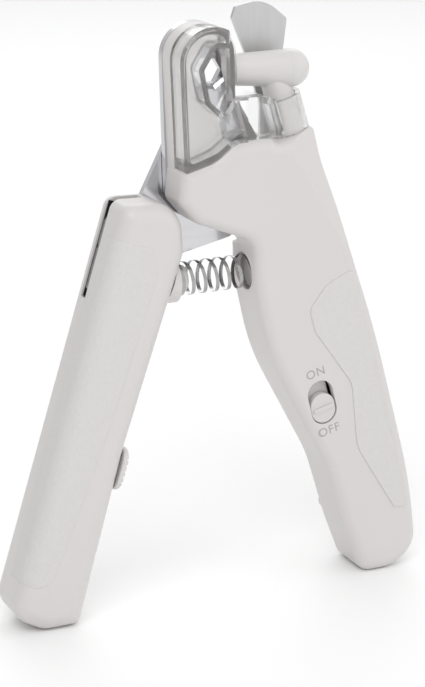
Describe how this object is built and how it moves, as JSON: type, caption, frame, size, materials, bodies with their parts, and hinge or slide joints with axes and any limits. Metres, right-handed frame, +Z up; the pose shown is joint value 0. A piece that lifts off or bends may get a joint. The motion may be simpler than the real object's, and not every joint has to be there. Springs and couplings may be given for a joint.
{
  "type": "pet nail trimmer",
  "caption": "Hand-held pet nail trimmer with a sliding blade in a clear head, a swivelling lamp, a swinging stop guard and a sprung lever handle.",
  "frame": {"origin": "middle of the bounding box, at the level of the two handle ends that it stands on", "axes": "+Z up towards the cutting head, +X to the right seen from the front, +Y to the back"},
  "size_m": [0.1122, 0.0176, 0.1502],
  "materials": {
    "white_plastic": "satin moulded",
    "soft_grip": "fine textured",
    "polished_steel": "polished",
    "brushed_steel": "satin",
    "clear_plastic": "clear",
    "lamp_white": "soft gloss",
    "zinc_steel": "zinc plated",
    "board_green": "solder mask",
    "dark_plastic": "moulded",
    "led_resin": "clear resin"
  },
  "bodies": {
    "right_handle": {"front_shell": "white_plastic", "rear_shell": "white_plastic", "right_grip": "soft_grip", "cutting_plate": "polished_steel", "clear_cover": "clear_plastic", "lamp_collar": "clear_plastic", "guard_screw": "zinc_steel", "pivot_screw": "zinc_steel", "pivot_washer": "zinc_steel", "plate_screws": "zinc_steel", "spring_cup": "white_plastic", "return_spring": "brushed_steel", "switch_body": "dark_plastic", "circuit_board": "board_green", "battery_cells": "polished_steel", "battery_contacts": "brushed_steel", "battery_door": "white_plastic", "shell_screws": "zinc_steel"},
    "lever": {"lever_plate": "polished_steel", "lever_front_shell": "white_plastic", "lever_rear_shell": "white_plastic", "lever_grip": "soft_grip", "lever_screws": "zinc_steel", "spring_boss": "white_plastic", "file_pin": "zinc_steel", "drive_pin": "zinc_steel"},
    "blade": {"cutting_blade": "polished_steel"},
    "lamp": {"lamp_barrel": "lamp_white", "lamp_lens": "clear_plastic", "lamp_led": "led_resin"},
    "guard": {"safety_guard": "brushed_steel"},
    "file": {"nail_file": "brushed_steel"},
    "lock": {"lock_slider": "white_plastic"},
    "switch": {"switch_knob": "white_plastic"}
  },
  "joints": [
    {"name": "lever_pivot", "type": "hinge", "parent": "right_handle", "child": "lever", "pos_m": [-0.00566, 0.0055, 0.10288], "axis": [0, -1, 0], "range_deg": [0, 26], "stiffness_Nm_per_rad": 0.4, "springref_deg": -14.32, "deforming": ["return_spring"]},
    {"name": "blade_slide", "type": "slide", "parent": "right_handle", "child": "blade", "axis": [-0.284, 0, 0.9588], "range_m": [0, 0.00653]},
    {"name": "lamp_swivel", "type": "hinge", "parent": "right_handle", "child": "lamp", "pos_m": [0.02074, 0, 0.119], "axis": [-0.284, 0, 0.9588], "range_deg": [0, 20]},
    {"name": "guard_swing", "type": "hinge", "parent": "right_handle", "child": "guard", "pos_m": [0.01874, 0.0072, 0.112], "axis": [0, -1, 0], "range_deg": [0, 34]},
    {"name": "file_fold", "type": "hinge", "parent": "lever", "child": "file", "pos_m": [-0.02428, 0.0033, 0.0985], "axis": [0, 1, 0], "range_deg": [0, 165]},
    {"name": "lock_slide", "type": "slide", "parent": "lever", "child": "lock", "axis": [0.298, 0, 0.9546], "range_m": [0, 0.004]},
    {"name": "switch_slide", "type": "slide", "parent": "right_handle", "child": "switch", "axis": [-0.2504, 0, 0.9681], "range_m": [0, 0.0036]}
  ],
  "couplings": [
    {"joint": "blade_slide", "follows": "lever_pivot", "m_per_rad": 0.014376}
  ]
}
